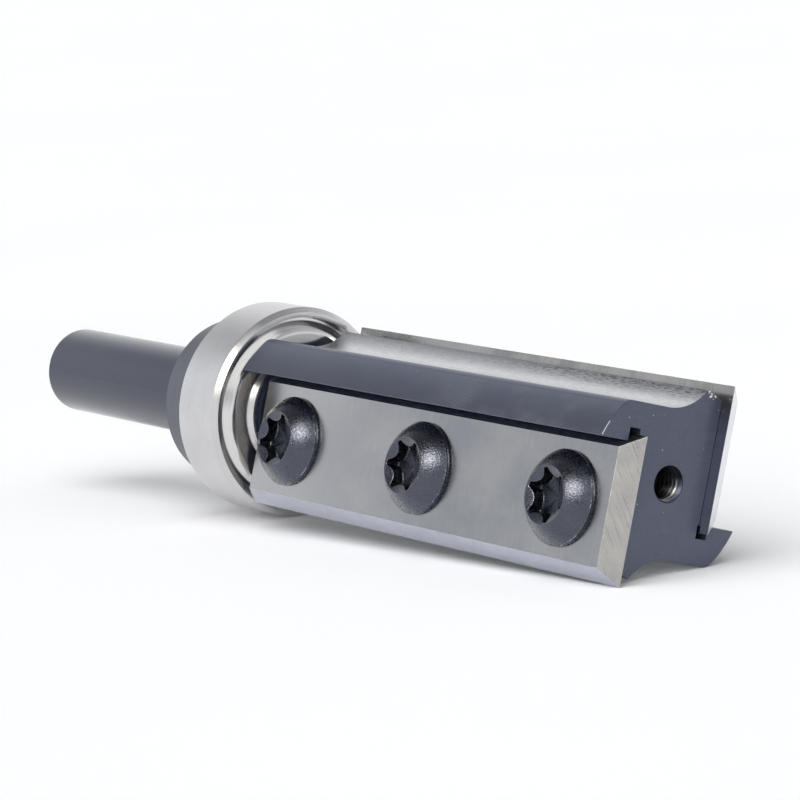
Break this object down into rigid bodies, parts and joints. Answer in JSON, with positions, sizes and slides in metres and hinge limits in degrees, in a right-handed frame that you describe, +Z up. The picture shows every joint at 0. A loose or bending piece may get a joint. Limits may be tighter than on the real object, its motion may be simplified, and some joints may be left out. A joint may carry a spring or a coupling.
{
  "type": "flush trim router bit",
  "caption": "Straight flush trim router bit with screwed-on replaceable knives, a plain shank and a guide ball bearing held by a lock collar at the shank end.",
  "frame": {"origin": "on the tool axis, midway along the stretch of shank that a collet grips", "axes": "+X along the tool axis from the shank towards the tip, +Z up with the bit lying at rest on its bearing, one knife's cutting corner and the heel of the other knife's claw"},
  "size_m": [0.089, 0.019, 0.019],
  "materials": {
    "body_steel": "black-oxidised tool steel, satin, blue-grey slate",
    "knife_carbide": "ground tungsten carbide, fine satin grey",
    "screw_steel": "black-oxidised steel, semi-gloss",
    "bearing_steel": "ground bearing steel, satin",
    "shield_steel": "pressed sheet steel, satin",
    "cage_steel": "pressed sheet steel, satin",
    "ball_steel": "polished bearing steel",
    "collar_steel": "black-oxidised steel, satin, blue-grey slate"
  },
  "bodies": {
    "bit": {"cutter_body": "body_steel", "knife_1": "knife_carbide", "knife_2": "knife_carbide", "knife_screw_1_1": "screw_steel", "knife_screw_1_2": "screw_steel", "knife_screw_1_3": "screw_steel", "knife_screw_2_1": "screw_steel", "knife_screw_2_2": "screw_steel", "knife_screw_2_3": "screw_steel", "bearing_inner_ring": "bearing_steel", "lock_collar": "collar_steel", "collar_set_screw": "screw_steel"},
    "outer_ring": {"bearing_outer_ring": "bearing_steel", "bearing_shield_tip": "shield_steel", "bearing_shield_shank": "shield_steel"},
    "ball_train": {"bearing_ball_1": "ball_steel", "bearing_ball_2": "ball_steel", "bearing_ball_3": "ball_steel", "bearing_ball_4": "ball_steel", "bearing_ball_5": "ball_steel", "bearing_ball_6": "ball_steel", "bearing_ball_7": "ball_steel", "bearing_cage_tip_half": "cage_steel", "bearing_cage_shank_half": "cage_steel"}
  },
  "joints": [
    {"name": "bearing_spin", "type": "hinge", "parent": "bit", "child": "outer_ring", "pos_m": [0.0216, 0, 0], "axis": [1, 0, 0], "continuous": true},
    {"name": "ball_train_spin", "type": "hinge", "parent": "bit", "child": "ball_train", "pos_m": [0.0216, 0, 0], "axis": [1, 0, 0], "continuous": true}
  ],
  "couplings": [
    {"joint": "ball_train_spin", "follows": "bearing_spin", "ratio": 0.61759}
  ]
}
